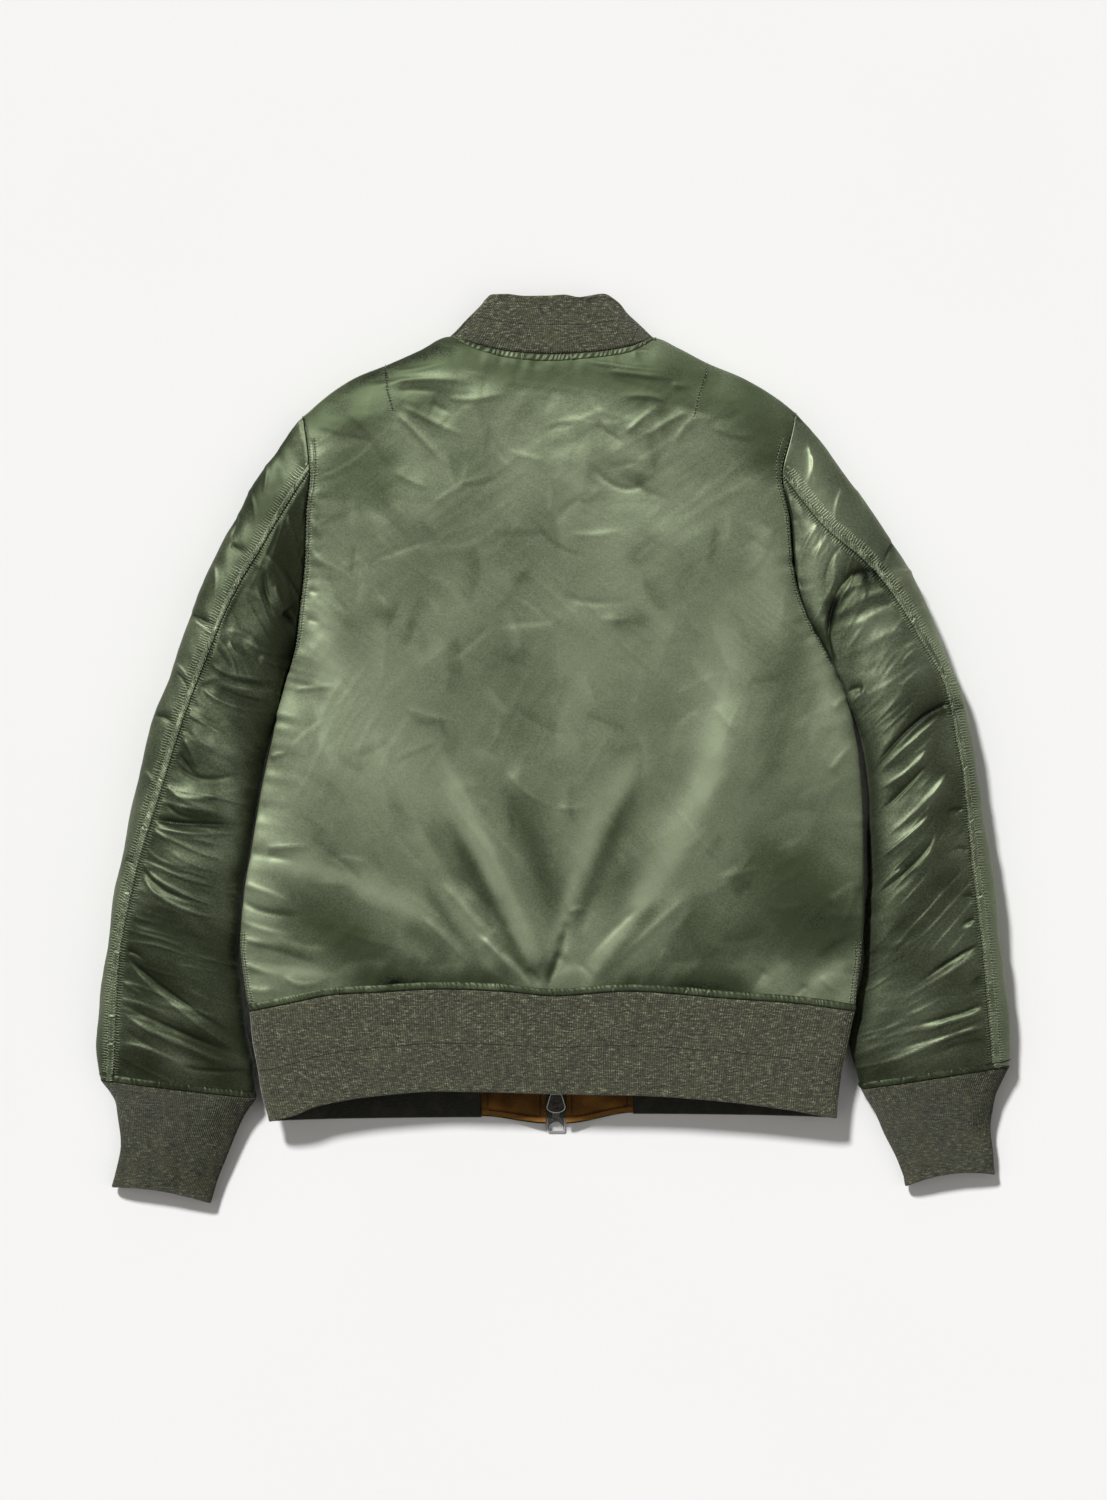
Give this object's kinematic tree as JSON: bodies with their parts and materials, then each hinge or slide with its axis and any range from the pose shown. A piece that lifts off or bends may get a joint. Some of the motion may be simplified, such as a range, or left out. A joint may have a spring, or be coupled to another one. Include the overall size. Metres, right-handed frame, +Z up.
{
  "type": "bomber jacket",
  "caption": "Padded nylon bomber jacket laid face down and flat, zipped shut, with rib-knit collar, cuffs and hem.",
  "frame": {"origin": "centre of the laid-out jacket's plan, on the surface it rests on", "axes": "+Z up out of the back, +Y towards the collar, +X towards the wearer's right sleeve"},
  "size_m": [0.791, 0.7848, 0.048],
  "materials": {
    "shell_nylon": "sage green satin nylon over thin wadding",
    "rib_knit": "dark olive flecked rib knit",
    "facing": "brown twill inside the ends of the hem",
    "zip_tape": "dark green woven tape",
    "zip_teeth": "dull metal teeth",
    "zip_metal": "dark gunmetal",
    "pull_metal": "worn bright steel"
  },
  "bodies": {
    "jacket": {"back_panel": "shell_nylon", "front_left": "shell_nylon", "front_right": "shell_nylon", "sleeve_top_left": "shell_nylon", "sleeve_top_right": "shell_nylon", "sleeve_under_left": "shell_nylon", "sleeve_under_right": "shell_nylon", "collar": "rib_knit", "cuff_left": "rib_knit", "cuff_right": "rib_knit", "hem_back": "rib_knit", "hem_front_left": "rib_knit", "hem_front_right": "rib_knit", "hem_tab_left": "facing", "hem_tab_right": "facing", "zip_chain": "zip_teeth", "zip_tape_left": "zip_tape", "zip_tape_right": "zip_tape", "zip_slider_lower": "zip_metal", "zip_slider_upper": "zip_metal"},
    "zip_pull_lower": {"zip_pull_lower": "pull_metal"},
    "zip_pull_upper": {"zip_pull_upper": "pull_metal"}
  },
  "joints": [
    {"name": "lower_pull_swing", "type": "hinge", "parent": "jacket", "child": "zip_pull_lower", "pos_m": [0.0018, -0.3095, 0.0026], "axis": [1, 0, 0], "range_deg": [-6, 165]},
    {"name": "upper_pull_swing", "type": "hinge", "parent": "jacket", "child": "zip_pull_upper", "pos_m": [0.0018, 0.262, 0.0026], "axis": [1, 0, 0], "range_deg": [-3, 165]}
  ]
}
